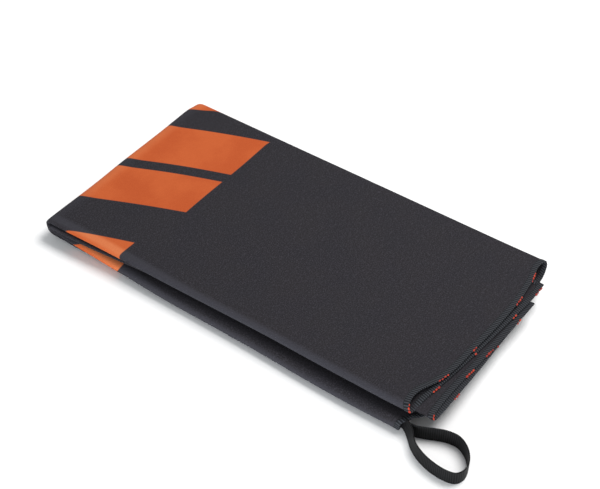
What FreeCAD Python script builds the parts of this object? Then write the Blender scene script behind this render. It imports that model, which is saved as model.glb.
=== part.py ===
import FreeCAD, Part
import math
import os

from FreeCAD import Rotation, Vector

# A quick dry towel folded flat: one sheet of cloth, gate-folded lengthwise into four layers and
# then folded in half across, so that eight layers lie on each other. The cross fold is at -X,
# the short hems are at +X, and a webbing loop stands on its edge at the front hem corner.
# Origin: centre of the underside that the towel rests on. +X runs to the hem end, +Z up.

SIZES = [
    ("fold_reach", 181, "origin to the cross fold's outer face"),
    ("hem_reach", 178, "origin to the top layer's hem"),
    ("folded_width", 196, "front fold to back fold"),
    ("cloth_thick", 0.8, "suede microfibre cloth"),
    ("hem_thick", 1.2, "overlocked edge"),
    ("hem_wide", 5, "overlock stitch width"),
    ("pitch_fold_end", 1.4, "spacing of the layers at the cross fold"),
    ("pitch_hem_end", 2.2, "spacing of the upper layers at the hems"),
    ("upper_base_fold_end", 13.2, "underside of the upper half at the cross fold"),
    ("upper_base_hem_end", 18.0, "underside of the upper half at the hems"),
    ("roll_height_fold_end", 11.2, "top of the lower half at the cross fold"),
    ("roll_height_hem_end", 14.5, "top of the lower half at the hems"),
    ("roll_corner", 2.6, "bend radius of the lower front roll"),
    ("roll_bulge", 5, "how far the lower roll stands out in front at the hems"),
    ("flap_a_short", 18.5, "side hem of the outer flap stops this far from the back fold"),
    ("flap_b_short", 40, "side hem of the inner flap stops this far from the back fold"),
    ("upper_flap_inset", 10, "second front fold of the upper half behind the first, at the hems"),
    ("lower_flap_inset", 14, "bottom front fold of the lower half behind the first, at the hems"),
    ("inset_fold_end", 3, "the same two insets at the cross fold"),
    ("rise_clear", 3, "the lower inner flap's rise ends this far in front of the bottom fold"),
    ("rise_long", 3, "length of that rise along Y"),
    ("rise_round", 1, "bend radius at each end of that rise"),
    ("hem_step_upper", 12, "the lowest upper layer's hem beyond the top one's"),
    ("hem_step_lower", 11, "the bottom layer's hem short of the lower half's top one's"),
    ("lower_set_back", 6.5, "lower half's top hem short of the upper half's"),
    ("bend_depth", 11, "length of the cross fold's bends along X"),
    ("bend_pitch", 1.5, "spacing of the nested bends"),
    ("bend_radius_outer", 7, "corner radius of the outermost bend"),
    ("bend_radius_step", 2, "each bend inside is tighter by this"),
    ("bend_radius_inner", 1.3, "corner radius of the innermost bend"),
    ("body_gap", 0.3, "clearance between pieces that move apart"),
    ("floor_trim", 0.05, "shaved off the lowest layer, so that it rests on a flat face"),
    ("tape_wide", 12, "hanging loop webbing"),
    ("tape_thick", 1.2, "hanging loop webbing"),
    ("tape_gap", 0.2, "between the two tape ends at the root"),
    ("tail_length", 15, "tape sewn inside the roll"),
    ("tail_inset", 4.8, "middle of the tape ends behind the roll's front"),
    ("tail_clear", 0.2, "between the hem under them and the tape ends"),
    ("loop_reach", 66, "root to the loop's far end along X"),
    ("loop_wide", 34, "widest part of the loop along Y"),
    ("strand_root", 0.91, "each strand's middle from the loop's middle at the root"),
    ("loop_flex", 1.6, "free tape between the sewn ends and the rigid loop"),
    ("bartack_long", 1.6, "along X"),
    ("bartack_high", 9, "across the tape"),
    ("bartack_proud", 0.4, "thread outside each tape face"),
]

doc = FreeCAD.newDocument("quick_dry_towel")
sheet = doc.addObject("Spreadsheet::Sheet", "sizes")
for row, (alias, value, meaning) in enumerate(SIZES, 1):
    sheet.set(f"A{row}", meaning)
    sheet.set(f"B{row}", str(value))
    sheet.setAlias(f"B{row}", alias)
doc.recompute()


def size(alias):
    return float(getattr(sheet, alias))


# ---- driving positions ----
WIDTH = size("folded_width")
CLOTH, HEM = size("cloth_thick"), size("hem_thick")
FOLD_X = -size("fold_reach") + size("bend_depth")   # where the flat layers meet the cross fold
HEM_X = size("hem_reach")                           # the top layer's hem
SPARE = 10                                          # a cutting solid reaches this far past its cut
FAR_X = HEM_X + 2 * SPARE                           # the lofts run past the hems, to be cut back
REACH = 3 * HEM_X                                   # more than the towel's length
FRONT, BACK = -WIDTH / 2, WIDTH / 2
FLAP_A_END = BACK - size("flap_a_short")
FLAP_B_END = BACK - size("flap_b_short")
FULL_ROUND = 0.999                                  # a half-round fold's bend radii, as a share of it
CUT_HALF = 60                                       # half the length of a hem's slanted cut
EDGE_PAST = 1                                       # a side hem's zone reaches past the free edge
TINY = 1e-6                                         # a shorter line is left out

# middle line of the loop from its root: shares of loop_reach along X and of loop_wide along Y
NEAR_STRAND = [(0.15, -0.26), (0.40, -0.76), (0.86, -0.88)]
FAR_STRAND = [(1.05, -0.36), (0.74, 0.15), (0.43, 0.07), (0.165, -0.205)]
STRAND_BENDS = [1, 0.55, 0.36, 0.36, 0.5, 0.5, 0.15]     # bend radii as shares of loop_wide


def corner_arcs(path, radii):
    """Tangent points, middle and centre of the arc at each inner corner of a path."""
    corners = []
    for before, here, after, radius in zip(path, path[1:], path[2:], radii):
        u, v = (before - here).normalize(), (after - here).normalize()
        half = u.getAngle(v) / 2
        reach = radius / math.tan(half)
        centre = here + (u + v).normalize() * (radius / math.sin(half))
        corners.append((here + u * reach, here + v * reach, centre, radius))
    return corners


def side_edges(path, radii, offset, normal):
    """Lines and arcs that follow the path at an offset to its left, seen against normal."""
    runs = [(b - a).normalize() for a, b in zip(path, path[1:])]
    lefts = [normal.cross(run) for run in runs]
    edges, last = [], path[0] + lefts[0] * offset
    for i, (start, end, centre, radius) in enumerate(corner_arcs(path, radii)):
        begin, finish = start + lefts[i] * offset, end + lefts[i + 1] * offset
        middle = ((begin - centre) + (finish - centre)).normalize()
        if (last - begin).Length > TINY:
            edges.append(Part.LineSegment(last, begin).toShape())
        rim = centre + middle * (begin - centre).Length
        edges.append(Part.Arc(begin, rim, finish).toShape())
        last = finish
    edges.append(Part.LineSegment(last, path[-1] + lefts[-1] * offset).toShape())
    return edges


def closed_wire(left, right):
    """One wire from two sides that run the same way, with straight caps."""
    first, last = left[0].firstVertex().Point, left[-1].lastVertex().Point
    caps = [Part.LineSegment(last, right[-1].lastVertex().Point).toShape(),
            Part.LineSegment(right[0].firstVertex().Point, first).toShape()]
    return Part.Wire(Part.__sortEdges__(left + caps + right))


def band_wire(path, radii, thick, normal):
    """Outline of a band of cloth or tape that follows a path."""
    left = side_edges(path, radii, thick / 2, normal)
    right = side_edges(path, radii, -thick / 2, normal)
    return closed_wire(left, right)


def mix(at_fold, at_hems, x):
    """A size at position x, from its values at the cross fold and at the hems."""
    share = (x - FOLD_X) / (HEM_X - FOLD_X)
    return at_fold + (at_hems - at_fold) * share


# ---- the two gate-folded halves ----
def upper_layers(x):
    """Middle heights of the upper half's layers at x, from the top down."""
    pitch = mix(size("pitch_fold_end"), size("pitch_hem_end"), x)
    base = mix(size("upper_base_fold_end"), size("upper_base_hem_end"), x) + CLOTH / 2
    return [base + pitch * count for count in (3, 2, 1, 0)]


def lower_layers(x):
    """Middle heights of the lower half's layers at x, from the top down."""
    pitch, base = size("pitch_fold_end"), CLOTH / 2 - size("floor_trim")
    top = mix(size("roll_height_fold_end"), size("roll_height_hem_end"), x) - CLOTH / 2
    return [top, base + pitch * 2, base + pitch, base]


def upper_path(x, lift=0):
    """Flap, top layer, back wrap, bottom layer and inner flap of the upper half."""
    z = [height + lift for height in upper_layers(x)]
    inner = FRONT + mix(size("inset_fold_end"), size("upper_flap_inset"), x)
    points = [(FLAP_A_END, z[1]), (FRONT, z[1]), (FRONT, z[0]), (BACK, z[0]),
              (BACK, z[3]), (inner, z[3]), (inner, z[2]), (FLAP_B_END, z[2])]
    flap, wrap, tuck = (z[0] - z[1]) / 2, (z[0] - z[3]) / 2, (z[2] - z[3]) / 2
    radii = [radius * FULL_ROUND for radius in (flap, flap, wrap, wrap, tuck, tuck)]
    return [Vector(x, y, height) for y, height in points], radii


def lower_path(x, lift=0):
    """Inner flap that rises over the bottom fold, front roll, top layer, back wrap and flap."""
    z = [height + lift for height in lower_layers(x)]
    roll = FRONT - mix(0, size("roll_bulge"), x)
    rise_clear, rise_long, bend = size("rise_clear"), size("rise_long"), size("rise_round")
    inset = size("inset_fold_end") + rise_clear + rise_long
    bottom = FRONT + mix(inset, size("lower_flap_inset"), x)
    rise_end = bottom - rise_clear
    rise_start = rise_end - rise_long
    points = [(FLAP_B_END, z[1]), (rise_end, z[1]), (rise_start, z[3]), (roll, z[3]),
              (roll, z[0]), (BACK, z[0]), (BACK, z[3]), (bottom, z[3]), (bottom, z[2]),
              (FLAP_A_END, z[2])]
    corner = size("roll_corner")
    wrap, tuck = (z[0] - z[3]) / 2 * FULL_ROUND, (z[2] - z[3]) / 2 * FULL_ROUND
    radii = [bend, bend, corner, corner, wrap, wrap, tuck, tuck]
    return [Vector(x, y, height) for y, height in points], radii


def half_solid(path_at, thick, lift=0, start=FOLD_X):
    """A half of the towel as a solid band, from start to well past the hems."""
    along = Vector(1, 0, 0)
    wires = [band_wire(*path_at(x, lift), thick, along) for x in (start, FAR_X)]
    return Part.makeLoft(wires, True, True)


def slanted_slab(top_x, top_z, bottom_x, bottom_z, wide):
    """Everything within wide to the left of a hem line that slants with the layers."""
    slope = Vector(bottom_x - top_x, 0, bottom_z - top_z).normalize() * CUT_HALF
    low, high = Vector(top_x, -WIDTH, top_z) + slope, Vector(top_x, -WIDTH, top_z) - slope
    back = Vector(-wide, 0, 0)
    outline = Part.makePolygon([low, high, high + back, low + back, low])
    return Part.Face(outline).extrude(Vector(0, 2 * WIDTH, 0))


def upper_slab(wide):
    z = upper_layers(HEM_X)
    return slanted_slab(HEM_X, z[0], HEM_X + size("hem_step_upper"), z[3], wide)


def lower_slab(wide):
    z = lower_layers(HEM_X)
    top_x = HEM_X - size("lower_set_back")
    return slanted_slab(top_x, z[0], top_x - size("hem_step_lower"), z[3], wide)


def side_hem_zone(flap_end, low, high):
    """The last stretch of one flap before its free edge, between two sloping heights.

    low and high are pairs: the height at the cross fold and far past the hems."""
    wide, outlines = size("hem_wide"), []
    for x, bottom, top in ((FOLD_X - SPARE, low[0], high[0]), (FAR_X, low[1], high[1])):
        corners = [(flap_end - wide, bottom), (flap_end + EDGE_PAST, bottom),
                   (flap_end + EDGE_PAST, top), (flap_end - wide, top)]
        points = [Vector(x, y, height) for y, height in corners]
        outlines.append(Part.makePolygon(points + points[:1]))
    return Part.makeLoft(outlines, True, True)


def flap_zones(layers_at, upper_flap_end, lower_flap_end):
    """Zones of the two side hems of a half, the lower flap's first."""
    ends = (FOLD_X - SPARE, FAR_X)
    middle = [sum(layers_at(x)[1:3]) / 2 for x in ends]
    half_gap = size("pitch_fold_end") / 2
    high = [layers_at(x)[1] + half_gap for x in ends]
    low = [layers_at(x)[2] - half_gap for x in ends]
    return (side_hem_zone(lower_flap_end, low, middle),
            side_hem_zone(upper_flap_end, middle, high))


def half_pieces(path_at, layers_at, slab, flap_ends, start):
    """Cloth, short hem and the two side hems of one half, the lower flap's side hem first."""
    lift = (HEM - CLOTH) / 2
    hem_zone = slab(size("hem_wide"))
    inside = slab(REACH).cut(hem_zone)
    zones = flap_zones(layers_at, *flap_ends)
    cloth = half_solid(path_at, CLOTH, 0, start).common(inside).cut(list(zones))
    short_hem = half_solid(path_at, HEM, lift, start).common(hem_zone)
    band = half_solid(path_at, HEM, 0, start).common(inside)
    return cloth, short_hem, [band.common(zone) for zone in zones]


# ---- the cross fold: four nested bends joined along the lengthwise folds ----
def bend_path(layer):
    """Path in the XZ plane of one layer around the cross fold, the top layer being 0."""
    upper, lower = upper_layers(FOLD_X), lower_layers(FOLD_X)[::-1]
    left = -size("fold_reach") + CLOTH / 2 + layer * size("bend_pitch")
    radius = size("bend_radius_outer") - layer * size("bend_radius_step")
    radius = max(radius, size("bend_radius_inner"))
    corners = [(FOLD_X, upper[layer]), (left, upper[layer]), (left, lower[layer]),
               (FOLD_X, lower[layer])]
    return [Vector(x, 0, z) for x, z in corners], [radius, radius]


def bend_solid(layer, thick, low_y, high_y):
    face = Part.Face(band_wire(*bend_path(layer), thick, Vector(0, 1, 0)))
    face.translate(Vector(0, low_y, 0))
    return face.extrude(Vector(0, high_y - low_y, 0))


def bend_wall(outer, inner, low_y):
    """Cloth that joins two of the nested bends along a lengthwise fold."""
    normal = Vector(0, 1, 0)
    left = side_edges(*bend_path(outer), -CLOTH / 2, normal)
    right = side_edges(*bend_path(inner), CLOTH / 2, normal)
    face = Part.Face(closed_wire(left, right))
    face.translate(Vector(0, low_y, 0))
    return face.extrude(Vector(0, CLOTH, 0))


def cross_fold_cloth():
    wide, inset = size("hem_wide"), size("inset_fold_end")
    front, back = FRONT - CLOTH / 2, BACK + CLOTH / 2
    bends = [bend_solid(0, CLOTH, front, back), bend_solid(1, CLOTH, front, FLAP_A_END - wide),
             bend_solid(2, CLOTH, front + inset, FLAP_B_END - wide),
             bend_solid(3, CLOTH, front + inset, back)]
    walls = [bend_wall(0, 1, front), bend_wall(2, 3, front + inset),
             bend_wall(0, 3, back - CLOTH)]
    return bends[0].fuse(bends[1:] + walls).removeSplitter()


def add_feature(label, shape):
    piece = doc.addObject("Part::Feature", label)
    piece.Label = label
    piece.Shape = shape
    piece.Placement = FreeCAD.Placement()
    return piece


def add_cloth():
    gap, wide = size("body_gap"), size("hem_wide")
    lower = half_pieces(lower_path, lower_layers, lower_slab, (FLAP_B_END, FLAP_A_END), FOLD_X)
    upper = half_pieces(upper_path, upper_layers, upper_slab, (FLAP_A_END, FLAP_B_END),
                        FOLD_X + gap)
    floor = Part.makeBox(2 * REACH, 2 * WIDTH, SPARE, Vector(-REACH, -WIDTH, -SPARE))
    folds = [bend_solid(layer, HEM, end - wide, end)
             for layer, end in ((1, FLAP_A_END), (2, FLAP_B_END))]
    pieces = {
        "cloth_lower_half": lower[0].cut(floor), "short_hem_lower": lower[1].cut(floor),
        "side_hem_a_lower": lower[2][0], "side_hem_b_lower": lower[2][1],
        "cloth_upper_half": upper[0], "short_hem_upper": upper[1],
        "side_hem_a_upper": upper[2][1], "side_hem_b_upper": upper[2][0],
        "cloth_cross_fold": cross_fold_cloth().cut(floor),
        "side_hem_a_fold": folds[0], "side_hem_b_fold": folds[1],
    }
    return [add_feature(label, shape) for label, shape in pieces.items()]


# ---- the hanging loop ----
def root_point():
    """Where the tape leaves the roll: its hem's mouth, level with the middle of the two ends."""
    x = HEM_X - size("lower_set_back") + size("body_gap")
    y = FRONT - size("roll_bulge") + size("tail_inset")
    return Vector(x, y, 0)


def loop_path():
    """Middle line of the tape in plan from the root, and its bend radii.

    The two strands leave the roll together towards the front, part, and close in a teardrop."""
    reach, wide = size("loop_reach"), size("loop_wide")
    strand = size("strand_root")
    line = [(reach * x, wide * y) for x, y in NEAR_STRAND + FAR_STRAND]
    radii = [wide * share for share in STRAND_BENDS]
    return [Vector(x, y, 0) for x, y in [(0, -strand)] + line + [(0, strand)]], radii


def add_loop():
    body = doc.addObject("PartDesign::Body", "hanging_loop")
    body.Label = "hanging_loop"
    outline = body.newObject("Sketcher::SketchObject", "loop_outline")
    plan = [o for o in body.Origin.OriginFeatures if o.Role == "XY_Plane"][0]
    outline.AttachmentSupport = [(plan, "")]
    outline.MapMode = "FlatFace"
    path, radii = loop_path()
    wire = band_wire(path, radii, size("tape_thick"), Vector(0, 0, 1))
    for edge in wire.Edges:
        curve = edge.Curve
        if isinstance(curve, Part.Line):
            ends = [vertex.Point for vertex in edge.Vertexes]
            outline.addGeometry(Part.LineSegment(*ends))
        else:
            outline.addGeometry(Part.ArcOfCircle(curve, *edge.ParameterRange))
    pad = body.newObject("PartDesign::Pad", "loop_tape")
    pad.Profile = outline
    pad.setExpression("Length", "sizes.tape_wide")
    body.Placement = FreeCAD.Placement(root_point(), Rotation())
    body.setExpression(".Placement.Base.z", "sizes.body_gap")
    return body


def add_box(label, expressions, place):
    box = doc.addObject("Part::Box", label)
    for side, expression in expressions.items():
        box.setExpression(side, expression)
    box.Placement.Base = place
    return box


def add_tails():
    """The tape's two ends inside the roll, each with the slot that the bartack's thread fills."""
    root = root_point()
    base = lower_layers(HEM_X)[3] + CLOTH / 2 + HEM - CLOTH + size("tail_clear")
    thick, between, proud = size("tape_thick"), size("tape_gap"), size("bartack_proud")
    end_x = root.x - size("loop_flex") - size("tail_length")
    tack_x = end_x + size("tail_length") / 2
    tack_z = base + (size("tape_wide") - size("bartack_high")) / 2
    tack_y = root.y - between / 2 - thick - proud
    tack_sides = {"Length": "sizes.bartack_long", "Height": "sizes.bartack_high",
                  "Width": "2 * sizes.tape_thick + sizes.tape_gap + 2 * sizes.bartack_proud"}
    tape_sides = {"Length": "sizes.tail_length", "Width": "sizes.tape_thick",
                  "Height": "sizes.tape_wide"}
    bartack = add_box("loop_bartack", tack_sides, Vector(tack_x, tack_y, tack_z))
    bartack.Label = "loop_bartack"
    pieces = [bartack]
    for label, y in (("loop_tail_near", root.y - between / 2 - thick),
                     ("loop_tail_far", root.y + between / 2)):
        tape = add_box(label + "_tape", tape_sides, Vector(end_x, y, base))
        slot = add_box(label + "_slot", tack_sides, bartack.Placement.Base)
        tail = doc.addObject("Part::Cut", label)
        tail.Base, tail.Tool = tape, slot
        tail.Label = label
        pieces.append(tail)
    return pieces


def check_and_write(pieces):
    doc.recompute()
    for item in doc.Objects:
        if "Invalid" in item.State or "Error" in item.State:
            raise SystemExit(f"{item.Label} failed to build: {item.State}")
    os.makedirs("parts", exist_ok=True)
    for piece in pieces:
        shape = piece.Shape
        if shape.isNull() or not shape.isValid():
            raise SystemExit(f"{piece.Label} isn't a valid shape")
        box = shape.optimalBoundingBox(False)
        print(f"{piece.Label:20s} solids {len(shape.Solids)} volume {shape.Volume:10.1f}"
              f"  x {box.XMin:.1f}..{box.XMax:.1f}  y {box.YMin:.1f}..{box.YMax:.1f}"
              f"  z {box.ZMin:.2f}..{box.ZMax:.2f}")
        shape.exportStep(f"parts/{piece.Label}.step")


check_and_write(add_cloth() + [add_loop()] + add_tails())
loop_line = side_edges(*loop_path(), 0, Vector(0, 0, 1))
print(f"tape in the loop: {sum(edge.Length for edge in loop_line):.0f} mm")
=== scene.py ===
import math
import bpy
import numpy as np
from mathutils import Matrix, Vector


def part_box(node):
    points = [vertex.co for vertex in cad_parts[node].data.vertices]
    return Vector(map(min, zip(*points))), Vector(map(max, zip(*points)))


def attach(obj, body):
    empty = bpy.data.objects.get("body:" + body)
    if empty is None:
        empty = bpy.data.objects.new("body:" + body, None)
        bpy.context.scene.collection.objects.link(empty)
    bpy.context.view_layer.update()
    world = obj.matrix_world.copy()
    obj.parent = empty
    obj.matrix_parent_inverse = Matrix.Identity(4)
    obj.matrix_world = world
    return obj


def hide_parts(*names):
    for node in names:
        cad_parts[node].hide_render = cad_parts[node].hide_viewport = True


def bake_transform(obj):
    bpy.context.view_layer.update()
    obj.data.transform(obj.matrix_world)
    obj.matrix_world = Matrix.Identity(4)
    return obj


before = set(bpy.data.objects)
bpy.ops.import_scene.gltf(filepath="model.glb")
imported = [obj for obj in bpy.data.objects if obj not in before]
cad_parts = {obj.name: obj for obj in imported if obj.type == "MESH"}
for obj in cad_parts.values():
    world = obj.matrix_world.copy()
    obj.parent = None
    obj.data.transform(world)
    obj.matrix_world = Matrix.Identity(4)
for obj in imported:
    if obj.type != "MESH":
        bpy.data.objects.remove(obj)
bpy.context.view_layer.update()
bpy.ops.object.select_all(action="DESELECT")

# shapes are worked out in millimetres and made metres when the mesh is built
toMetres = 0.001
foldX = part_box("cloth_lower_half")[0].x / toMetres           # where the flat layers meet the cross fold
halfLong = 355                                                # from there to the hems
halfWide = 98                                                 # from the middle to the front or back fold
floorSkin = 0.02                                              # nothing presses lower than this
randomStart = 11
dice = np.random.default_rng(randomStart)


def smoothCurve(points):
    # smooth line through (place, value) pairs, flat beyond its ends
    places, values = (np.array(v, float) for v in zip(*points))
    slopes = np.gradient(values, places)

    def valueAt(place):
        at = np.clip(place, places[0], places[-1])
        i = np.clip(np.searchsorted(places, at, side="right") - 1, 0, len(places) - 2)
        width = places[i + 1] - places[i]
        t = (at - places[i]) / width
        return ((1 + 2 * t) * (1 - t) ** 2 * values[i] + t * (1 - t) ** 2 * width * slopes[i]
                + t * t * (3 - 2 * t) * values[i + 1] + t * t * (t - 1) * width * slopes[i + 1])

    return valueAt


def ease(start, end, at):
    t = np.clip((at - start) / (end - start), 0, 1)
    return t * t * (3 - 2 * t)


def signedPower(value, power):
    return np.sign(value) * np.abs(value) ** power


def panelRun(yStart, yEnd, heightAt):
    def points(r):
        y = yStart + (yEnd - yStart) * r
        return y, heightAt(y)
    return points


def foldRun(start, end, crest, square):
    # cloth that turns back on itself from start to end, reaching crest on its way
    (yStart, zStart), (yEnd, zEnd) = start, end

    def points(r):
        angle = math.pi * r
        across, down = np.abs(np.sin(angle)) ** square, signedPower(np.cos(angle), square)
        y = yStart + (yEnd - yStart) * (1 - down) / 2 + (crest - (yStart + yEnd) / 2) * across
        z = (zStart + zEnd) / 2 + (zStart - zEnd) / 2 * down
        return y, z
    return points


def meshPiece(name, points, faces, material):
    mesh = bpy.data.meshes.new(name)
    mesh.from_pydata((np.asarray(points, float) * toMetres).tolist(), [], faces)
    mesh.update()
    piece = bpy.data.objects.new(name, mesh)
    bpy.context.collection.objects.link(piece)
    piece.data.materials.append(material)
    piece.data.shade_smooth()
    return piece


def gridFaces(rows, columns, closeColumns=False):
    # faces of a grid whose points are listed row by row
    lastColumn = columns if closeColumns else columns - 1
    i, j = (v.ravel() for v in np.meshgrid(np.arange(rows - 1), np.arange(lastColumn), indexing="ij"))
    k = (j + 1) % columns
    quads = np.stack([i * columns + j, (i + 1) * columns + j, (i + 1) * columns + k, i * columns + k], 1)
    return quads.tolist()


def giveUV(piece, across, along, name="flat"):
    # one flat place in metres for each vertex
    layer = piece.data.uv_layers.new(name=name)
    loops = np.empty(len(piece.data.loops), int)
    piece.data.loops.foreach_get("vertex_index", loops)
    places = np.stack([across[loops], along[loops]], 1) * toMetres
    layer.data.foreach_set("uv", places.ravel())


class Wire:
    # one output socket; sums on it add their own nodes
    def __init__(self, tree, socket=None):
        self.tree, self.socket = tree, socket

    def node(self, kind, settings=None, sockets=None, out=0):
        made = self.tree.nodes.new("ShaderNode" + kind)
        for key, value in (settings or {}).items():
            setattr(made, key, value)
        for key, value in (sockets or {}).items():
            if isinstance(value, Wire):
                self.tree.links.new(value.socket, made.inputs[key])
            else:
                made.inputs[key].default_value = value
        return Wire(self.tree, made.outputs[out])

    def maths(self, operation, a, b=0.0):
        return self.node("Math", {"operation": operation}, {0: a, 1: b})

    def __add__(self, other): return self.maths("ADD", self, other)
    def __radd__(self, other): return self.maths("ADD", other, self)
    def __sub__(self, other): return self.maths("SUBTRACT", self, other)
    def __rsub__(self, other): return self.maths("SUBTRACT", other, self)
    def __mul__(self, other): return self.maths("MULTIPLY", self, other)
    def __rmul__(self, other): return self.maths("MULTIPLY", other, self)
    def __truediv__(self, other): return self.maths("DIVIDE", self, other)
    def __rtruediv__(self, other): return self.maths("DIVIDE", other, self)
    def __abs__(self): return self.maths("ABSOLUTE", self)

    def most(self, other): return self.maths("MAXIMUM", self, other)
    def wave(self): return self.maths("SINE", self)

    def ramp(self, low, high):
        # 0 at low to 1 at high, eased; low may be the larger
        return self.node("MapRange", {"interpolation_type": "SMOOTHSTEP"},
                         {"Value": self, "From Min": low, "From Max": high})

    def noise(self, place, size, detail, rough=0.5):
        return self.node("TexNoise", None,
                         {"Vector": place, "Scale": size, "Detail": detail, "Roughness": rough})

    def bump(self, height, strength, distance):
        return self.node("Bump", None, {"Height": height, "Strength": strength, "Distance": distance})


def mixColour(wire, factor, one, two):
    def shade(colour):
        return colour if isinstance(colour, Wire) else (*colour, 1.0)
    sockets = {0: factor, 6: shade(one), 7: shade(two)}       # a Mix node's sockets for two colours
    return wire.node("Mix", {"data_type": "RGBA"}, sockets, 2)


def newMaterial(name, constants):
    material = bpy.data.materials.new(name)
    material.use_nodes = True
    shader = material.node_tree.nodes["Principled BSDF"]
    for key, value in constants.items():
        shader.inputs[key].default_value = value
    return material, shader, Wire(material.node_tree)


def plug(shader, wire, key):
    wire.tree.links.new(wire.socket, shader.inputs[key])


def flatPlace(wire):
    # place on the flat cloth or tape in metres, and its two parts
    place = wire.node("UVMap", {"uv_map": "flat"})
    across, along = (wire.node("SeparateXYZ", None, {0: place}, part) for part in (0, 1))
    return place, across, along


def bodyPlace(wire):
    return wire.node("TexCoord", None, None, 3)               # the object's own coordinates


clothLook = {
    "dark": (0.0098, 0.0086, 0.0116), "darkWarm": (0.0112, 0.0095, 0.0116),
    "fibreTip": (0.048, 0.0445, 0.055),
    "print": (0.42, 0.069, 0.0128), "printPale": (0.52, 0.107, 0.025),
    "speckSize": 1000.0, "grainSize": 350.0, "mottleSize": 30.0,
    "sheen": 0.14, "sheenRough": 0.3, "sheenTint": (0.78, 0.87, 1.0, 1.0), "specular": 0.25,
    "rough": 0.8, "roughSpread": 0.12, "bumpStrength": 0.35, "bumpDeep": 0.0004,
    # slanted print bars on the flat cloth, in metres: front edge, back edge, slant, near end, far end
    "bars": [(0.2150, 0.2640, 0.44, -0.076, 0.093), (0.2760, 0.3310, 0.44, -0.076, 0.093),
             (0.3577, 0.4300, 0.65, -0.030, 0.047), (0.1200, 0.1678, 0.395, -0.010, 0.0835),
             (0.6060, 0.7200, 0.80, -0.076, -0.0135)],
    "barEdge": 0.0005,
    # painted highlight along the fold crests, lighter and bluer where the crests catch the light, in metres:
    # two lengthwise, and one along the cross fold
    "highlightCrests": [0.1850, 0.5770], "creaseWide": 0.0065, "highlightCore": 0.0015,
    "foldCrease": 0.008, "foldHighlightWide": 0.011, "foldHighlightShare": 0.5,
    "crestHighlightColour": (0.036, 0.035, 0.044), "printCrestHighlight": (0.62, 0.183, 0.066), "crestHighlightShare": 0.8,
}


def printMask(across, along):
    mask, edge = None, clothLook["barEdge"]
    for front, back, slant, near, far in clothLook["bars"]:
        line = across - along * slant
        inside = line.ramp(front - edge, front + edge) * line.ramp(back + edge, back - edge)
        bar = inside * along.ramp(far + edge, far - edge) * along.ramp(near - edge, near + edge)
        mask = bar if mask is None else mask.most(bar)
    return mask


def makeClothMaterial():
    look = clothLook
    material, shader, wire = newMaterial("suedeMicrofibre", {
        "Sheen Weight": look["sheen"], "Sheen Roughness": look["sheenRough"], "Sheen Tint": look["sheenTint"],
        "Specular IOR Level": look["specular"]})
    place, across, along = flatPlace(wire)
    speck = wire.noise(place, look["speckSize"], 3.0, 0.65)
    grain = wire.noise(place, look["grainSize"], 2.0)
    patches = wire.noise(place, look["mottleSize"], 4.0).ramp(0.35, 0.65)
    fibres = speck.ramp(0.42, 0.72) * 0.75 + grain.ramp(0.5, 0.75) * 0.2
    dark = mixColour(wire, fibres, mixColour(wire, patches, look["dark"], look["darkWarm"]), look["fibreTip"])
    bright = mixColour(wire, patches * 0.5 + fibres * 0.6, look["print"], look["printPale"])
    # painted highlight: the cloth and the print turn lighter and bluer along the fold crests, where the light
    # catches them
    crestHighlight = abs(along - look["foldCrease"]).ramp(look["foldHighlightWide"], look["highlightCore"])
    crestHighlight = crestHighlight * look["foldHighlightShare"]
    for crease in look["highlightCrests"]:
        crestHighlight = crestHighlight.most(abs(across - crease).ramp(look["creaseWide"], look["highlightCore"]))
    crestHighlight = crestHighlight * (fibres * 0.4 + 0.8) * look["crestHighlightShare"]
    dark, bright = mixColour(wire, crestHighlight, dark, look["crestHighlightColour"]), mixColour(wire, crestHighlight, bright, look["printCrestHighlight"])
    plug(shader, mixColour(wire, printMask(across, along), dark, bright), "Base Color")
    plug(shader, speck * look["roughSpread"] + look["rough"], "Roughness")
    plug(shader, wire.bump(speck * 0.6 + grain * 0.4, look["bumpStrength"], look["bumpDeep"]), "Normal")
    return material


hemLook = {
    "dark": (0.005, 0.0055, 0.0075), "thread": (0.043, 0.047, 0.056),
    "tickPitch": 2.1, "tickSlant": 0.22, "bandWide": 5.0,     # millimetres; the slant is a share
    "fuzzSize": 2500.0, "sheen": 0.08, "sheenRough": 0.4, "specular": 0.2,
    "rough": 0.6, "roughSpread": 0.2, "bumpStrength": 0.3, "bumpDeep": 0.0002,
}


def makeHemMaterial():
    look = hemLook
    material, shader, wire = newMaterial("overlockThread", {
        "Sheen Weight": look["sheen"], "Sheen Roughness": look["sheenRough"],
        "Specular IOR Level": look["specular"]})
    place, across, along = flatPlace(wire)
    fuzz = wire.noise(place, look["fuzzSize"], 2.0)
    turns = (across / toMetres + along / toMetres * look["tickSlant"]) * (2 * math.pi / look["tickPitch"])
    border = (along / toMetres).ramp(look["bandWide"] - 0.9, look["bandWide"] - 0.3)
    lit = turns.wave().ramp(-0.1, 0.9) * (1 - border) * (fuzz * 0.7 + 0.55)
    plug(shader, mixColour(wire, lit, look["dark"], look["thread"]), "Base Color")
    plug(shader, fuzz * look["roughSpread"] + look["rough"], "Roughness")
    plug(shader, wire.bump(fuzz, look["bumpStrength"], look["bumpDeep"]), "Normal")
    return material


fleckLook = {
    "deep": (0.28, 0.012, 0.005), "red": (0.42, 0.032, 0.009), "tip": (0.52, 0.11, 0.055), "tipShare": 0.35,
    "fuzzSize": 1800.0, "shadeSize": 90.0, "sheen": 0.1, "specular": 0.25, "rough": 0.5, "roughSpread": 0.2,
}


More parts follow.
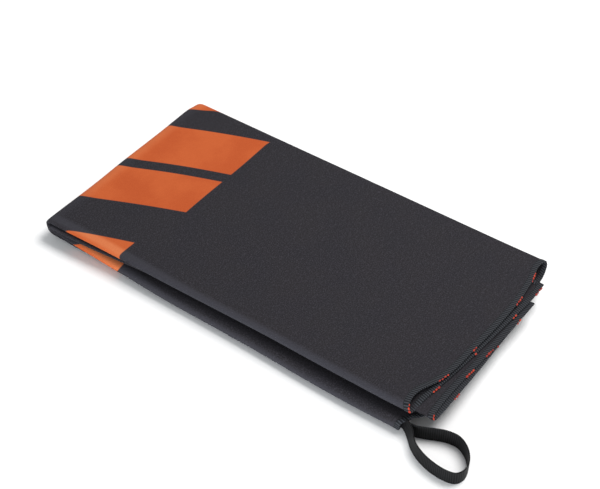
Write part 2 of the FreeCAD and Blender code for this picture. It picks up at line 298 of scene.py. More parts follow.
def makeFleckMaterial():
    look = fleckLook
    material, shader, wire = newMaterial("redThread", {
        "Sheen Weight": look["sheen"], "Specular IOR Level": look["specular"]})
    place = bodyPlace(wire)
    fuzz = wire.noise(place, look["fuzzSize"], 2.0)
    shade = wire.noise(place, look["shadeSize"], 1.0)
    colour = mixColour(wire, shade.ramp(0.4, 0.6), look["deep"], look["red"])
    plug(shader, mixColour(wire, fuzz.ramp(0.45, 0.8) * look["tipShare"], colour, look["tip"]), "Base Color")
    plug(shader, fuzz * look["roughSpread"] + look["rough"], "Roughness")
    return material


tapeLook = {
    "ribPitch": 1.65, "dark": (0.0006, 0.0006, 0.0008), "rib": (0.0172, 0.0172, 0.0186),
    "fuzzSize": 1800.0, "sheen": 0.03, "sheenRough": 0.3, "specular": 0.15,
    "rough": 0.5, "roughSpread": 0.2, "bumpStrength": 0.4, "bumpDeep": 0.0002,
}


def makeTapeMaterial():
    look = tapeLook
    material, shader, wire = newMaterial("ribbedWebbing", {
        "Sheen Weight": look["sheen"], "Sheen Roughness": look["sheenRough"],
        "Specular IOR Level": look["specular"]})
    place, across = flatPlace(wire)[:2]
    rib = (across * (2 * math.pi / (look["ribPitch"] * toMetres))).wave()
    fuzz = wire.noise(place, look["fuzzSize"], 3.0)
    lit = rib.ramp(0.0, 0.75) * (fuzz * 0.8 + 0.35)
    plug(shader, mixColour(wire, lit, look["dark"], look["rib"]), "Base Color")
    plug(shader, fuzz * look["roughSpread"] + look["rough"], "Roughness")
    plug(shader, wire.bump(rib * 0.5 + fuzz * 0.5, look["bumpStrength"], look["bumpDeep"]), "Normal")
    return material


bartackLook = {
    "dark": (0.012, 0.012, 0.014), "thread": (0.05, 0.05, 0.055), "twistSize": 900.0, "twistUneven": 2.0,
    "sheen": 0.15, "specular": 0.4, "rough": 0.5, "roughSpread": 0.2,
}


def makeBartackMaterial():
    look = bartackLook
    material, shader, wire = newMaterial("bartackThread", {
        "Sheen Weight": look["sheen"], "Specular IOR Level": look["specular"]})
    twist = wire.node("TexWave", {"wave_type": "BANDS"}, {
        "Vector": bodyPlace(wire), "Scale": look["twistSize"], "Distortion": look["twistUneven"]})
    plug(shader, mixColour(wire, twist, look["dark"], look["thread"]), "Base Color")
    plug(shader, twist * look["roughSpread"] + look["rough"], "Roughness")
    return material


floorLook = {"pale": (0.94, 0.94, 0.94), "paler": (0.97, 0.97, 0.97), "cloudSize": 3.0, "rough": 0.9,
             "specular": 0.1}


def makeFloorMaterial():
    look = floorLook
    material, shader, wire = newMaterial("paleFloor", {
        "Roughness": look["rough"], "Specular IOR Level": look["specular"]})
    cloud = wire.noise(bodyPlace(wire), look["cloudSize"], 2.0)
    plug(shader, mixColour(wire, cloud, look["pale"], look["paler"]), "Base Color")
    return material


clothMaterial, hemMaterial = makeClothMaterial(), makeHemMaterial()
fleckMaterial, tapeMaterial = makeFleckMaterial(), makeTapeMaterial()
bartackMaterial, floorMaterial = makeBartackMaterial(), makeFloorMaterial()
print("materials made")


# Across, the sheet runs flap A, outer front fold, top layer, back wrap, inner layer, inner front fold and
# flap B. Along, it runs from the upper hem to the cross fold and on to the lower hem.

cloth = {
    "thick": 0.8,
    "runs": [177, 13, 188, 13, 179, 22, 152],                 # flat widths across, in order
    "runSamples": [30, 14, 64, 14, 40, 18, 26],
    "flapAEnd": 79.5, "flapBEnd": 58,                         # the free side edges
    "layerGap": 1.35,                                         # between the layers of the lower half
    "backSlope": 0.012,                                       # the stack gets lower towards the back
    # the cross fold: reach of its innermost turn, extra reach for each mm of height outside it, and
    # how square its turns are (1 is round, less is squarer)
    "crossFoldDepth": 7.6, "crossFoldStep": 1.3, "crossFoldSquare": 0.42,
    "bendRows": 26, "upperRows": 62, "lowerRows": 50, "rowsToHem": 0.85,
    "edgeInset": 0.5,                                         # its short edges lie inside the overlock
}
runEnds = np.concatenate([[0.0], np.cumsum(cloth["runs"])])
flatWide = float(runEnds[-1])

# heights and crests along the upper half, from the cross fold at 0 to the hems at 1
topHeight = smoothCurve([(0, 18.6), (0.25, 20.1), (0.5, 21.8), (0.75, 23.2), (1, 24.7)])
secondHeight = smoothCurve([(0, 17.1), (0.5, 18.6), (1, 20.5)])
thirdHeight = smoothCurve([(0, 15.8), (0.5, 16.9), (1, 18.6)])
fourthHeight = smoothCurve([(0, 13.65), (0.5, 15.2), (1, 16.75)])
outerCrest = smoothCurve([(0, -97.8), (0.2, -96.6), (0.45, -96.2), (0.6, -96.2), (0.8, -97.6), (0.93, -98),
                          (1, -97.5)])
innerCrest = smoothCurve([(0, -100.1), (0.06, -99.6), (0.12, -98.3), (0.2, -95.9), (0.4, -90.5), (0.8, -90.5),
                          (0.95, -91.5), (1, -91.6)])

# and along the lower half
rollTop = smoothCurve([(0, 10.75), (0.25, 11.6), (0.5, 12.2), (0.75, 12.75), (1, 13.3)])
rollCrest = smoothCurve([(0, -97.5), (0.1, -98.7), (0.2, -100), (0.3, -101), (0.45, -101.6), (0.6, -102.6),
                         (0.77, -104.8), (0.9, -105.3), (1, -104)])
endLift = smoothCurve([(0, 3.4), (0.03, 2.4), (0.07, 1.5), (0.15, 0.6), (0.26, 0), (0.3, 0)])
rollFloor = smoothCurve([(0, 5.7), (0.05, 4.0), (0.12, 1.9), (0.22, 0.8), (0.3, 0.5), (0.36, 0.45),
                         (0.88, 0.45), (0.93, 0.45), (0.985, 0.95), (1, 1.05)])
bottomCrest = smoothCurve([(0, -96.5), (0.1, -95), (0.3, -87), (1, -84)])
bottomHeight = smoothCurve([(0, 0.45), (0.88, 0.45), (0.93, 0.45), (0.985, 0.95), (1, 1.05)])

# how far along X each part of the sheet reaches at its two short hems
upperHemX = smoothCurve([(0, 184.4), (20, 185.8), (50, 185), (84, 183.5), (122, 181.5), (165, 177.5),
                         (177, 176.5), (184, 174.5), (190, 172.5), (196, 171.6), (205, 172.6), (217, 176.3),
                         (231, 179.4), (268, 180.8), (300, 181.6), (325, 181), (353, 177.8), (378, 174),
                         (384.5, 177), (391, 178.4), (403, 180.2), (416, 183), (428, 186.5), (442, 188.5),
                         (465, 189.7), (486, 191), (536, 193.2), (562, 193.9), (570, 193.9), (581, 192.8),
                         (592, 191), (604, 190), (676, 189.6), (732, 189.4), (744, 189)])
lowerHemX = smoothCurve([(0, 160), (177, 161), (190, 159), (378, 158), (391, 165), (430, 172), (486, 180),
                         (540, 188), (556, 187), (565, 182), (573, 174.6), (581, 171.6), (592, 169.5),
                         (640, 168), (744, 166)])

# how the layers settle, in millimetres; a pair is where an effect starts and is full, as a share of the
# way to the hems, or in y where it is named for front, back or across
upperDrape = {
    "atHem": (0.85, 1), "nearFront": (-45, -90), "nearBack": (40, 80),
    "sag": 0.4, "sagAlong": 0.8, "sagAtHem": 1.1,             # the top layer between front and back
    "arch": 1.4, "archPlace": -80, "archWide": 13, "archAlong": (0.8, 1),
    "ripple": 0.22, "rippleAlong": 9, "rippleAcross": 0.035, "rippleEdge": (98, 70),
    "crease": 0.16, "creasePlace": 0.51, "creaseWide": 0.009,
    "lip": 2.2, "lipAlong": (0.08, 0.35), "lipAcross": (-80, -93),
    "hemDropFront": 0.6, "hemDropBack": 1.0, "flapDrop": 0.3, "flapDropAcross": (25, 58),
    "secondSlope": 0.8, "thirdSlope": 0.95,
    "turnLow": 4.2, "turnHigh": 4.6, "innerTurn": 2.6, "turnSquare": 0.85, "innerSquare": 0.9,
    "wrapLow": 95.5, "wrapHigh": 95.3, "wrapCrest": 100.8, "wrapNarrows": 2.2,
    "lean": 10, "leanAlong": (0.86, 1), "leanCrest": 0.3,
}
lowerDrape = {
    "hollow": 1.5, "hollowAlong": (0, 0.3), "hollowFront": (-90, -62), "hollowBack": (97, 60),
    "frontHollow": 1.2, "frontHollowAlong": (0.05, 0.3), "frontHollowRise": (-103, -96),
    "frontHollowFall": (-70, -88), "riseFront": 7, "riseBack": 0.5, "bottomTurn": 2, "bottomSquare": 0.9,
    "rollDeep": 6.5, "rollDeeper": 3, "rollDeepAlong": (0, 0.35),
    "rollSquare": 0.8, "rollSquarer": 0.28, "rollSquareAlong": (0.9, 1),
    "wrap": 94, "wrapCrest": 99.2, "wrapSquare": 0.8, "lean": 6, "leanAlong": (0.8, 1),
}
foldSkew = {                                                  # how unevenly the cross fold reaches
    "front": 1.1, "frontAcross": (-20, -90), "middle": 2.4, "middleAcross": (-20, 60),
    "back": 2.4, "backAcross": (84, 98), "tuck": 0.14, "tuckRound": (1.2, 2.4), "tuckAcross": (-20, -97),
}
seamSlack = 1e-9                                              # a point on a seam belongs to both runs


def upperRuns(q):
    d = upperDrape
    atHem = ease(*d["atHem"], q)
    lean = d["lean"] * ease(*d["leanAlong"], q)
    turnLow, turnHigh = outerCrest(q) + d["turnLow"], outerCrest(q) + d["turnHigh"]
    wrapLow, wrapHigh = d["wrapLow"] - lean, d["wrapHigh"]
    wrapCrest = d["wrapCrest"] - d["wrapNarrows"] * q - d["leanCrest"] * lean
    tuck = innerCrest(q) + d["innerTurn"]

    def slope(y):
        return cloth["backSlope"] * (y + halfWide)

    def topLayer(y):
        sag = (d["sag"] + d["sagAlong"] * q + d["sagAtHem"] * atHem) * (1 - (y / halfWide) ** 2)
        arch = d["arch"] * ease(*d["archAlong"], q) * np.exp(-((y - d["archPlace"]) / d["archWide"]) ** 2)
        ripple = d["ripple"] * np.sin(q * d["rippleAlong"] + y * d["rippleAcross"])
        ripple = ripple * ease(*d["rippleEdge"], np.abs(y))
        crease = d["crease"] * math.exp(-((q - d["creasePlace"]) / d["creaseWide"]) ** 2)
        return topHeight(q) - sag + arch + ripple - crease

    def secondLayer(y):
        lip = d["lip"] * ease(*d["lipAlong"], q) * ease(*d["lipAcross"], y)
        drop = d["hemDropFront"] * ease(*d["nearFront"], y) + d["hemDropBack"] * ease(*d["nearBack"], y)
        return secondHeight(q) - atHem * drop - lip - d["secondSlope"] * slope(y)

    def thirdLayer(y):
        drop = atHem * d["flapDrop"] * ease(*d["flapDropAcross"], y)
        return thirdHeight(q) - drop - d["thirdSlope"] * slope(y)

    def fourthLayer(y):
        return fourthHeight(q) - slope(y)

    return [
        panelRun(cloth["flapAEnd"], turnLow, secondLayer),
        foldRun((turnLow, secondLayer(turnLow)), (turnHigh, topLayer(turnHigh)), outerCrest(q),
                d["turnSquare"]),
        panelRun(turnHigh, wrapHigh, topLayer),
        foldRun((wrapHigh, topLayer(wrapHigh)), (wrapLow, fourthLayer(wrapLow)), wrapCrest, d["turnSquare"]),
        panelRun(wrapLow, tuck, fourthLayer),
        foldRun((tuck, fourthLayer(tuck)), (tuck, thirdLayer(tuck)), innerCrest(q), d["innerSquare"]),
        panelRun(tuck, cloth["flapBEnd"], thirdLayer),
    ]


def lowerRuns(q):
    d = lowerDrape
    floorAt, gap = bottomHeight(q) + endLift(q), cloth["layerGap"]
    bottom = bottomCrest(q)
    bottomTurn = bottom + d["bottomTurn"]
    turn = rollCrest(q) + d["rollDeep"] + d["rollDeeper"] * ease(*d["rollDeepAlong"], q)
    square = d["rollSquare"] - d["rollSquarer"] * ease(*d["rollSquareAlong"], q)
    lean = d["lean"] * ease(*d["leanAlong"], q)
    wrap = d["wrap"] - lean

    def seventhLayer(y):
        return floorAt + gap + 0 * y

    def eighthLayer(y):
        return floorAt + 0 * y

    def rollLayer(y):
        hollow = d["hollow"] * ease(*d["hollowAlong"], q)
        hollow = hollow * ease(*d["hollowFront"], y) * ease(*d["hollowBack"], y)
        front = d["frontHollow"] * ease(*d["frontHollowAlong"], q)
        front = front * ease(*d["frontHollowRise"], y) * ease(*d["frontHollowFall"], y)
        return rollTop(q) - hollow - front - cloth["backSlope"] * np.maximum(y + halfWide, 0)

    def sixthLayer(y):
        rise = ease(bottom - d["riseFront"], bottom - d["riseBack"], y)
        return rollFloor(q) + (floorAt + 2 * gap - rollFloor(q)) * rise

    return [
        panelRun(cloth["flapAEnd"], bottomTurn, seventhLayer),
        foldRun((bottomTurn, seventhLayer(bottom)), (bottomTurn, eighthLayer(bottom)), bottom,
                d["bottomSquare"]),
        panelRun(bottomTurn, wrap, eighthLayer),
        foldRun((wrap, eighthLayer(wrap)), (wrap, rollLayer(wrap)), d["wrapCrest"] - lean, d["wrapSquare"]),
        panelRun(wrap, turn, rollLayer),
        foldRun((turn, rollLayer(turn)), (turn, sixthLayer(turn)), rollCrest(q), square),
        panelRun(turn, cloth["flapBEnd"], sixthLayer),
    ]


def layAcross(runs, s):
    y, z = np.zeros_like(s), np.zeros_like(s)
    for low, high, run in zip(runEnds, runEnds[1:], runs):
        inside = (s >= low - seamSlack) & (s <= high + seamSlack)
        y[inside], z[inside] = run((s[inside] - low) / (high - low))
    return y, z


def clothRow(part, place, s):
    # one line of points across the sheet; place is 0..1 in a half, or the angle round the cross fold
    if part == "upper":
        y, z = layAcross(upperRuns(place), s)
        return np.stack([foldX + (upperHemX(s) - foldX) * place, y, z], 1)
    if part == "lower":
        y, z = layAcross(lowerRuns(place), s)
        return np.stack([foldX + (lowerHemX(s) - foldX) * place, y, z], 1)
    (yHigh, zHigh), (yLow, zLow) = layAcross(upperRuns(0.0), s), layAcross(lowerRuns(0.0), s)
    square = cloth["crossFoldSquare"]
    out, down = math.sin(place) ** square, signedPower(math.cos(place), square)
    y = yHigh + (yLow - yHigh) * (1 - down) / 2
    z = (zHigh + zLow) / 2 + (zHigh - zLow) / 2 * down
    outside = np.maximum(zHigh - fourthHeight(0.0) + cloth["backSlope"] * (y + halfWide), 0)
    skew = foldSkew["front"] * ease(*foldSkew["frontAcross"], y)
    skew = skew - foldSkew["middle"] * ease(*foldSkew["middleAcross"], y)
    skew = skew - foldSkew["back"] * ease(*foldSkew["backAcross"], y)
    depth = cloth["crossFoldDepth"] + outside * cloth["crossFoldStep"] + skew
    tuck = foldSkew["tuck"] * ease(*foldSkew["tuckRound"], place) * ease(*foldSkew["tuckAcross"], y)
    depth = depth * (1 - tuck)
    return np.stack([foldX - depth * out, y, z], 1)


def sheetRows(upperPlaces, bends, lowerPlaces):
    rows = [("upper", q) for q in upperPlaces[::-1]]
    rows += [("bend", math.pi * k / bends) for k in range(1, bends)]
    return rows + [("lower", q) for q in lowerPlaces]


def sheetGrid(s, rows):
    return np.stack([clothRow(part, place, s) for part, place in rows], 1)      # [across, along, xyz]


def hemPlaces(count, last):
    return np.linspace(0, 1, count) ** cloth["rowsToHem"] * (1 - last)       # closer together near the hem


clothAcross = np.unique(np.concatenate([
    np.linspace(low, high, count + 1)
    for low, high, count in zip(runEnds, runEnds[1:], cloth["runSamples"])]))
hemInset = cloth["edgeInset"] / halfLong
clothRows = sheetRows(hemPlaces(cloth["upperRows"], hemInset), cloth["bendRows"],
                      hemPlaces(cloth["lowerRows"], hemInset))
clothPoints = sheetGrid(clothAcross, clothRows)


def flatPlaces(points, middleRow):
    # flat place of each point: distance across its row, and distance along from the cross fold
    stepAcross = np.linalg.norm(np.diff(points, axis=0), axis=2)
    across = np.vstack([np.zeros(points.shape[1]), np.cumsum(stepAcross, axis=0)])
    across *= flatWide / across[-1]
    stepAlong = np.linalg.norm(np.diff(points, axis=1), axis=2)
    along = np.hstack([np.zeros((points.shape[0], 1)), np.cumsum(stepAlong, axis=1)])
    along = along[:, middleRow:middleRow + 1] - along
    return across, along


middleRow = cloth["upperRows"] + cloth["bendRows"] // 2 - 1
flatAcross, flatAlong = flatPlaces(clothPoints, middleRow)
acrossCount, alongCount = clothPoints.shape[:2]
towelCloth = meshPiece("towelCloth", clothPoints.reshape(-1, 3), gridFaces(acrossCount, alongCount),
                       clothMaterial)
giveUV(towelCloth, flatAcross.ravel(), flatAlong.ravel())


def applyModifiers(piece):
    bpy.ops.object.select_all(action="DESELECT")
    piece.select_set(True)
    bpy.context.view_layer.objects.active = piece
    for modifier in list(piece.modifiers):
        bpy.ops.object.modifier_apply(modifier=modifier.name)
    piece.select_set(False)


shell = towelCloth.modifiers.new("clothThickness", "SOLIDIFY")
shell.thickness, shell.offset = cloth["thick"] * toMetres, 0.0
applyModifiers(towelCloth)
print("cloth made,", len(towelCloth.data.polygons), "faces")


hem = {
    "insets": [5.0, 4.3, 3.2, 2.1, 1.0, 0.35],                # rows of the band, in from the cloth's edge
    "edgeOut": 0.3, "tickOut": 0.2, "border": 0.9,
    "low": 0.42, "padding": 0.16, "ridge": 0.24,              # heights over the middle of the cloth
    "spacing": 0.8, "samplesPerTick": 5,
    "sideInsets": [5.0, 3.4, 1.8, 0.35], "sidePitch": 2.2, "sideStart": 5.2,
    "sideUpperRows": 420, "sideLowerRows": 400, "sideBends": 40,
}


def bandPiece(name, grid, along, insets, pitch):
    # grid is [along the edge, inset, xyz], its insets falling to the edge itself; the band wraps that edge
    run = np.gradient(grid, axis=0)
    inward = np.gradient(grid, axis=1)
    normals = np.cross(run, inward)
    normals /= np.linalg.norm(normals, axis=2, keepdims=True)
    outward = grid[:, -1] - grid[:, -2]
    outward /= np.linalg.norm(outward, axis=1, keepdims=True)
    insets = np.array(insets)
    phase = (along[:, None] + insets[None, :] * hemLook["tickSlant"]) * (2 * math.pi / pitch)
    tick = np.clip(np.sin(phase) * 0.75 + 0.25, 0, 1)
    border = ease(insets[0], insets[0] - hem["border"], insets)[None, :]
    high = hem["low"] + (hem["padding"] + hem["ridge"] * tick) * border
    upper = grid + normals * high[:, :, None]
    lower = grid - normals * high[:, :, None]
    tip = grid[:, -1:] + outward[:, None, :] * (hem["edgeOut"] + hem["tickOut"] * tick[:, -1:, None])
    ring = np.concatenate([upper, tip, lower[:, ::-1]], axis=1)
    ring[:, :, 2] = np.maximum(ring[:, :, 2], floorSkin)
    count, sides = ring.shape[:2]
    faces = gridFaces(count, sides, True)
    faces.append(list(range(sides))[::-1])
    faces.append([(count - 1) * sides + k for k in range(sides)])
    piece = meshPiece(name, ring.reshape(-1, 3), faces, hemMaterial)
    insetPlace = np.concatenate([insets, [0.0], insets[::-1]])
    giveUV(piece, np.repeat(along, sides), np.tile(insetPlace, count))
    return piece, normals, outward


def shortHem(name, part):
    # the short edge of one half, all round its folds
    s = np.clip(np.arange(0, flatWide + hem["spacing"] / 2, hem["spacing"]), 0, flatWide)
    grid = np.stack([clothRow(part, 1 - inset / halfLong, s) for inset in hem["insets"]], 1)
    steps = np.linalg.norm(np.diff(grid[:, -1], axis=0), axis=1)
    along = np.concatenate([[0], np.cumsum(steps)])
    even = np.arange(0, along[-1], hemLook["tickPitch"] / hem["samplesPerTick"])
    grid = np.stack([np.stack([np.interp(even, along, grid[:, i, k]) for k in range(3)], 1)
                     for i in range(grid.shape[1])], 1)
    return (*bandPiece(name, grid, even, hem["insets"], hemLook["tickPitch"]), grid)


def sideHem(name, atStart):
    # one long free edge, from the upper hem round the cross fold to the lower hem
    insets = np.array(hem["sideInsets"])
    s = insets if atStart else flatWide - insets
    last = 1 - hem["sideStart"] / halfLong                    # clear of the short hems
    rows = sheetRows(np.linspace(0, last, hem["sideUpperRows"]), hem["sideBends"],
                     np.linspace(0, last, hem["sideLowerRows"]))
    grid = sheetGrid(s, rows).transpose(1, 0, 2)
    steps = np.linalg.norm(np.diff(grid[:, -1], axis=0), axis=1)
    along = np.concatenate([[0], np.cumsum(steps)])
    return bandPiece(name, grid, along, insets, hem["sidePitch"])[0]


shortHemUpper, upperNormals, upperOut, upperEdge = shortHem("shortHemUpper", "upper")
shortHemLower, lowerNormals, lowerOut, lowerEdge = shortHem("shortHemLower", "lower")
sideHemA, sideHemB = sideHem("sideHemA", True), sideHem("sideHemB", False)
print("hems made", len(shortHemUpper.data.polygons), len(sideHemA.data.polygons))


# red thread beads on the outer edges of the short hems, in millimetres; a pair is least and most
fleck = {
    "long": 2.7, "wide": 1.9, "proud": 0.4, "sunk": 0.1, "flat": 0.8,
    "firstPlace": (4, 12), "spacing": (26, 62), "inCluster": (1, 5), "step": 2.9, "endClear": 6,
    "size": (0.75, 1.1), "side": (-0.25, 0.35),
}


def fleckShape():
    bpy.ops.object.select_all(action="DESELECT")
    bpy.ops.mesh.primitive_uv_sphere_add(segments=8, ring_count=6, radius=0.5)
    bead = bpy.context.object
    bpy.ops.object.mode_set(mode="EDIT")
    bpy.ops.mesh.select_all(action="SELECT")
    bpy.ops.transform.resize(value=(1.0, 1.0, fleck["flat"]))
    bpy.ops.object.mode_set(mode="OBJECT")
    points = np.array([v.co for v in bead.data.vertices])
    faces = [list(p.vertices) for p in bead.data.polygons]
    bpy.data.objects.remove(bead)
    return points, faces


def fleckPiece(name, edge, normals, outward, bead):
    # clusters of beads that follow the outer edge of a short hem
    shape, shapeFaces = bead
    pitch = hemLook["tickPitch"] / hem["samplesPerTick"]
    points, faces = [], []
    place = dice.uniform(*fleck["firstPlace"])
    while place < len(edge) * pitch - fleck["endClear"]:
        for k in range(dice.integers(*fleck["inCluster"])):
            i = int((place + k * fleck["step"]) / pitch)
            if i >= len(edge) - 3:
                break
            run = edge[i + 2, -1] - edge[i - 2, -1]
            run /= np.linalg.norm(run)
            up, out = normals[i, -1], outward[i]
            size, side = dice.uniform(*fleck["size"]), dice.uniform(*fleck["side"])
            middle = edge[i, -1] + out * (fleck["proud"] - fleck["sunk"]) + up * side
            spun = (shape[:, :1] * run * fleck["long"] + shape[:, 1:2] * out * fleck["wide"]
                    + shape[:, 2:] * up * fleck["wide"]) * size
            start = len(points) * len(shape)
            points.append(middle + spun)
            faces += [[start + v for v in face] for face in shapeFaces]
        place += dice.uniform(*fleck["spacing"])
    points = np.concatenate(points)
    points[:, 2] = np.maximum(points[:, 2], floorSkin)
    piece = meshPiece(name, points, faces, fleckMaterial)
    bpy.ops.object.select_all(action="DESELECT")
    piece.select_set(True)
    bpy.context.view_layer.objects.active = piece
    bpy.ops.object.mode_set(mode="EDIT")
    bpy.ops.mesh.select_all(action="SELECT")
    bpy.ops.mesh.normals_make_consistent(inside=False)
    bpy.ops.object.mode_set(mode="OBJECT")
    piece.select_set(False)
    return piece


beadShape = fleckShape()
hemFlecksUpper = fleckPiece("hemFlecksUpper", upperEdge, upperNormals, upperOut, beadShape)
hemFlecksLower = fleckPiece("hemFlecksLower", lowerEdge, lowerNormals, lowerOut, beadShape)
print("flecks made", len(hemFlecksUpper.data.polygons))


tape = {
    "wide": 12.5, "thick": 1.15, "station": 0.24, "ribDeep": 0.2,
    # middle line in plan, from one sewn end round to the other
    "plan": [(155.5, -98.9), (165, -98.9), (170.5, -99.4), (175, -101.8), (180, -106), (186, -111.5),
             (193.5, -116.5), (203, -120.5), (212, -122.6), (223.5, -123), (231.2, -120.6),
             (234, -115), (232.9, -107.5), (228.8, -100.6), (222.3, -94.6), (214, -90.9), (205, -91.6),
             (197, -94.8), (189, -98.7), (182, -101), (177, -100.8), (171.5, -98.4), (165, -97.5),
             (155.5, -97.5)],
    # height of its lower edge, and lean in radians, by share of its length
    "rise": [(0, 1.3), (0.07, 1.2), (0.15, 0.45), (0.2, 0.3), (0.8, 0.3), (0.85, 0.45), (0.93, 1.2),
             (1, 1.3)],
    "tilt": [(0, 0), (0.07, 0.0), (0.14, 0.25), (0.22, 0.12), (0.35, 0.06), (0.5, -0.04), (0.65, -0.1),
             (0.8, -0.08), (0.93, 0.0), (1, 0)],
    "rootSqueeze": 0.14, "rootShare": (0.05, 0.13),           # the sewn ends are cupped inside the roll
    # up the tape: place as a share of its width, and thickness; the woven edges are a little thicker
    "rows": [0.0, 0.02, 0.064, 0.112, 0.28, 0.48, 0.72, 0.888, 0.936, 0.98, 1.0],
    "swell": [0.35, 0.85, 1.0, 0.8, 0.85, 0.85, 0.85, 0.8, 1.0, 0.85, 0.35],
    "wovenEdge": 1.2, "edgeRib": 0.35,
    "fineSteps": 3000, "roundings": 60,
}


def smoothPath(points, station):
    # rounded line through the points, at even steps
    given = np.array(points, float)
    steps = np.linalg.norm(np.diff(given, axis=0), axis=1) ** 0.5
    knots = np.concatenate([[0], np.cumsum(steps)])
    fine = np.linspace(0, knots[-1], tape["fineSteps"])
    line = np.stack([smoothCurve(list(zip(knots, given[:, k])))(fine) for k in range(given.shape[1])], 1)
    for _ in range(tape["roundings"]):
        line[1:-1] = (line[:-2] + line[1:-1] + line[2:]) / 3
    length = np.concatenate([[0], np.cumsum(np.linalg.norm(np.diff(line, axis=0), axis=1))])
    even = np.arange(0, length[-1], station)
    return np.stack([np.interp(even, length, line[:, k]) for k in range(line.shape[1])], 1), even


def makeTape():
    line, along = smoothPath(tape["plan"], tape["station"])
    share = along / along[-1]
    rise, tilt = smoothCurve(tape["rise"])(share), smoothCurve(tape["tilt"])(share)
    run = np.gradient(line, axis=0)
    run /= np.linalg.norm(run, axis=1, keepdims=True)
    side = np.stack([-run[:, 1], run[:, 0], np.zeros(len(run))], 1)
    up = np.stack([side[:, 0] * np.sin(tilt), side[:, 1] * np.sin(tilt), np.cos(tilt)], 1)
    face = np.cross(up, np.stack([run[:, 0], run[:, 1], np.zeros(len(run))], 1))
    rib = np.sin(along * 2 * math.pi / tapeLook["ribPitch"]) * 0.5 + 0.5
    inner, outer = tape["rootShare"]
    cupped = 1 - tape["rootSqueeze"] * (ease(outer, inner, share) + ease(1 - outer, 1 - inner, share))
    half, wide = tape["thick"] / 2, tape["wide"]
    heights, swell = np.array(tape["rows"]) * wide, np.array(tape["swell"])
    ribbed = (heights > tape["wovenEdge"]) & (heights < wide - tape["wovenEdge"])
    ribShare = np.where(ribbed, 1.0, tape["edgeRib"])
    base = np.stack([line[:, 0], line[:, 1], rise], 1)
    ring = []
    for sign, order in ((1, slice(None)), (-1, slice(None, None, -1))):
        for height, fat, ribHere in zip(heights[order], swell[order], ribShare[order]):
            out = half * fat + tape["ribDeep"] * (ribHere * rib - 0.5)
            ring.append(base + up * (height * cupped)[:, None] + face * (sign * out)[:, None])
    ring = np.stack(ring, 1)
    count, sides = ring.shape[:2]
    faces = gridFaces(count, sides, True)
    faces.append(list(range(sides)))
    faces.append([(count - 1) * sides + k for k in range(sides)][::-1])
    piece = meshPiece("hangingLoopTape", ring.reshape(-1, 3), faces, tapeMaterial)
    giveUV(piece, np.repeat(along, sides), np.tile(np.concatenate([heights, heights[::-1]]), count))
    return piece


hangingLoopTape = makeTape()
print("tape made", len(hangingLoopTape.data.polygons))


bartack = {"passes": 26, "pointsPerPass": 8, "threadRadius": 0.16, "inset": 0.2}


def makeBartack():
    low, high = (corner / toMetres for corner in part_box("loop_bartack"))
    curve = bpy.data.curves.new("bartackPath", "CURVE")
    curve.dimensions = "3D"
    curve.bevel_depth = bartack["threadRadius"] * toMetres
    curve.bevel_resolution = 2
    spline = curve.splines.new("POLY")
    # the thread goes round both tape ends while it climbs
    inset, last = bartack["inset"], bartack["passes"] * bartack["pointsPerPass"]
    points = []
    for k in range(last + 1):
        angle = k / bartack["pointsPerPass"] * 2 * math.pi
        x = (low.x + high.x) / 2 + math.cos(angle) * ((high.x - low.x) / 2 - inset)
        y = (low.y + high.y) / 2 + math.sin(angle) * ((high.y - low.y) / 2 - inset)
        z = low.z + inset + (high.z - low.z - 2 * inset) * k / last
        points.append((x * toMetres, y * toMetres, z * toMetres))
    spline.points.add(len(points) - 1)
    for point, place in zip(spline.points, points):
        point.co = (*place, 1)
    holder = bpy.data.objects.new("bartackPath", curve)
    bpy.context.collection.objects.link(holder)
    mesh = bpy.data.meshes.new_from_object(holder)
    bpy.data.objects.remove(holder)
    piece = bpy.data.objects.new("bartackThread", mesh)
    bpy.context.collection.objects.link(piece)
    mesh.materials.clear()
    mesh.materials.append(bartackMaterial)
    mesh.shade_smooth()
    return piece


bartackThread = makeBartack()
print("bartack made")


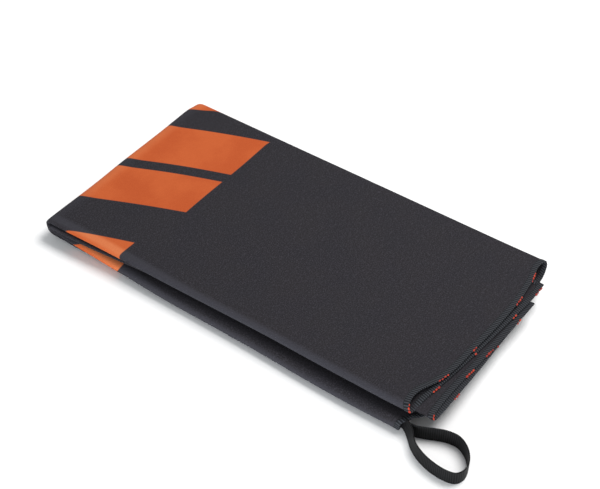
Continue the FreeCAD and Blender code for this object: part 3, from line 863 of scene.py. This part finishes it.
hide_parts("cloth_upper_half", "cloth_lower_half", "cloth_cross_fold")
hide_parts("short_hem_upper")
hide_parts("short_hem_lower")
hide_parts("side_hem_a_upper", "side_hem_a_lower", "side_hem_a_fold")
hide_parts("side_hem_b_upper", "side_hem_b_lower", "side_hem_b_fold")
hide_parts("hanging_loop", "loop_tail_near", "loop_tail_far")
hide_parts("loop_bartack")
for piece in (towelCloth, sideHemA, sideHemB):
    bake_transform(piece)
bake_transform(hangingLoopTape)
for piece, body in ((shortHemUpper, "upper_half"), (shortHemLower, "lower_half"),
                    (hemFlecksUpper, "upper_half"), (hemFlecksLower, "lower_half"),
                    (bartackThread, "lower_half")):
    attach(piece, body)
print("pieces ride")


stage = {
    "floorSize": 30.0, "worldLight": 0.40, "worldColour": (0.96, 0.98, 1.0, 1.0),
    # each light: place, size, power and colour
    "frontLight": ((0.45, -1.5, 0.24), 0.45, 22.0, (0.92, 0.97, 1.0)),
    "topLight": ((0.35, 0.8, 1.6), 1.3, 34.0, (1.0, 0.99, 0.98)),
}

bpy.ops.mesh.primitive_plane_add(size=stage["floorSize"], location=(0, 0, 0))
floor = bpy.context.object
floor.name = "paleFloor"
floor.data.materials.append(floorMaterial)

world = bpy.context.scene.world or bpy.data.worlds.new("softRoom")
bpy.context.scene.world = world
world.use_nodes = True
background = world.node_tree.nodes["Background"]
background.inputs["Color"].default_value = stage["worldColour"]
background.inputs["Strength"].default_value = stage["worldLight"]


def areaLight(name, place, size, power, colour):
    # a round light that shines on the origin
    lamp = bpy.data.lights.new(name, "AREA")
    lamp.shape, lamp.size, lamp.energy, lamp.color = "DISK", size, power, colour
    holder = bpy.data.objects.new(name, lamp)
    holder.location = place
    holder.rotation_euler = (-Vector(place)).to_track_quat("-Z", "Y").to_euler()
    bpy.context.collection.objects.link(holder)


areaLight("frontLight", *stage["frontLight"])
areaLight("topLight", *stage["topLight"])

view = {"azimuth": 36.5, "height": 43.05, "distance": 1.4697, "lens": 108.0, "sensor": 36.0,
        "shift": (0.0053, 0.0292)}
azimuth, height = math.radians(view["azimuth"]), math.radians(view["height"])
back = Vector((math.sin(azimuth) * math.cos(height), -math.cos(azimuth) * math.cos(height), math.sin(height)))
lens = bpy.data.cameras.new("mainView")
lens.lens, lens.sensor_width = view["lens"], view["sensor"]
lens.shift_x, lens.shift_y = view["shift"]
camera = bpy.data.objects.new("mainView", lens)
camera.location = back * view["distance"]
camera.rotation_euler = (-back).to_track_quat("-Z", "Y").to_euler()
bpy.context.collection.objects.link(camera)
bpy.context.scene.camera = camera
bpy.context.scene.view_settings.view_transform = "Standard"
print("stage set")
